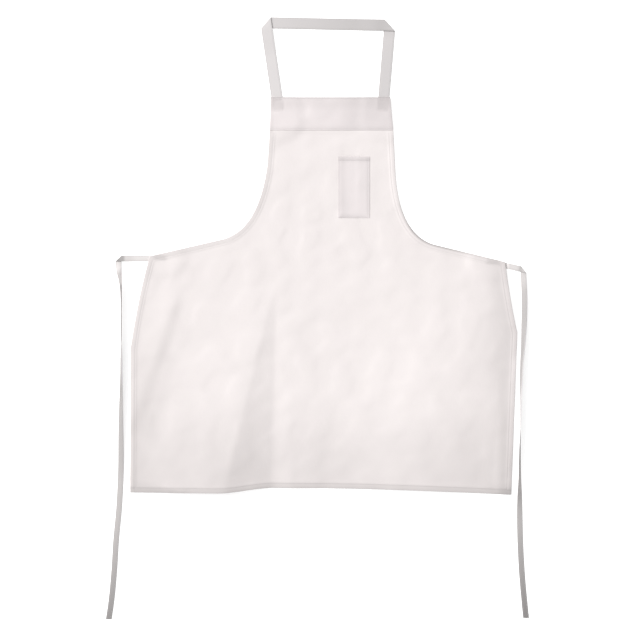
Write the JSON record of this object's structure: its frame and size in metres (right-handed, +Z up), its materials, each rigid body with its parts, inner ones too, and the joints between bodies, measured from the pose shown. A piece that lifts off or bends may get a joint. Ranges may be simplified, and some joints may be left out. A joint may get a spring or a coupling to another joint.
{
  "type": "twill apron",
  "caption": "White twill bib apron lying flat, front up, with a folded neck strap, a banded bib top, a narrow chest pocket and long waist ties.",
  "frame": {"origin": "middle of the laid apron without its ties, on the surface that it lies on", "axes": "+X towards the wearer's left, +Y from the hem to the neck strap, +Z up out of the front"},
  "size_m": [0.9472, 1.3487, 0.0137],
  "materials": {
    "twill_single": "white cotton twill, one layer",
    "twill_double": "white cotton twill over another layer",
    "twill_tape": "folded and stitched twill tape"
  },
  "bodies": {
    "root": {"body_panel": "twill_single", "bib_band": "twill_double", "chest_pocket": "twill_double", "neck_strap": "twill_tape", "tie_left": "twill_tape", "tie_right": "twill_tape"}
  },
  "joints": []
}
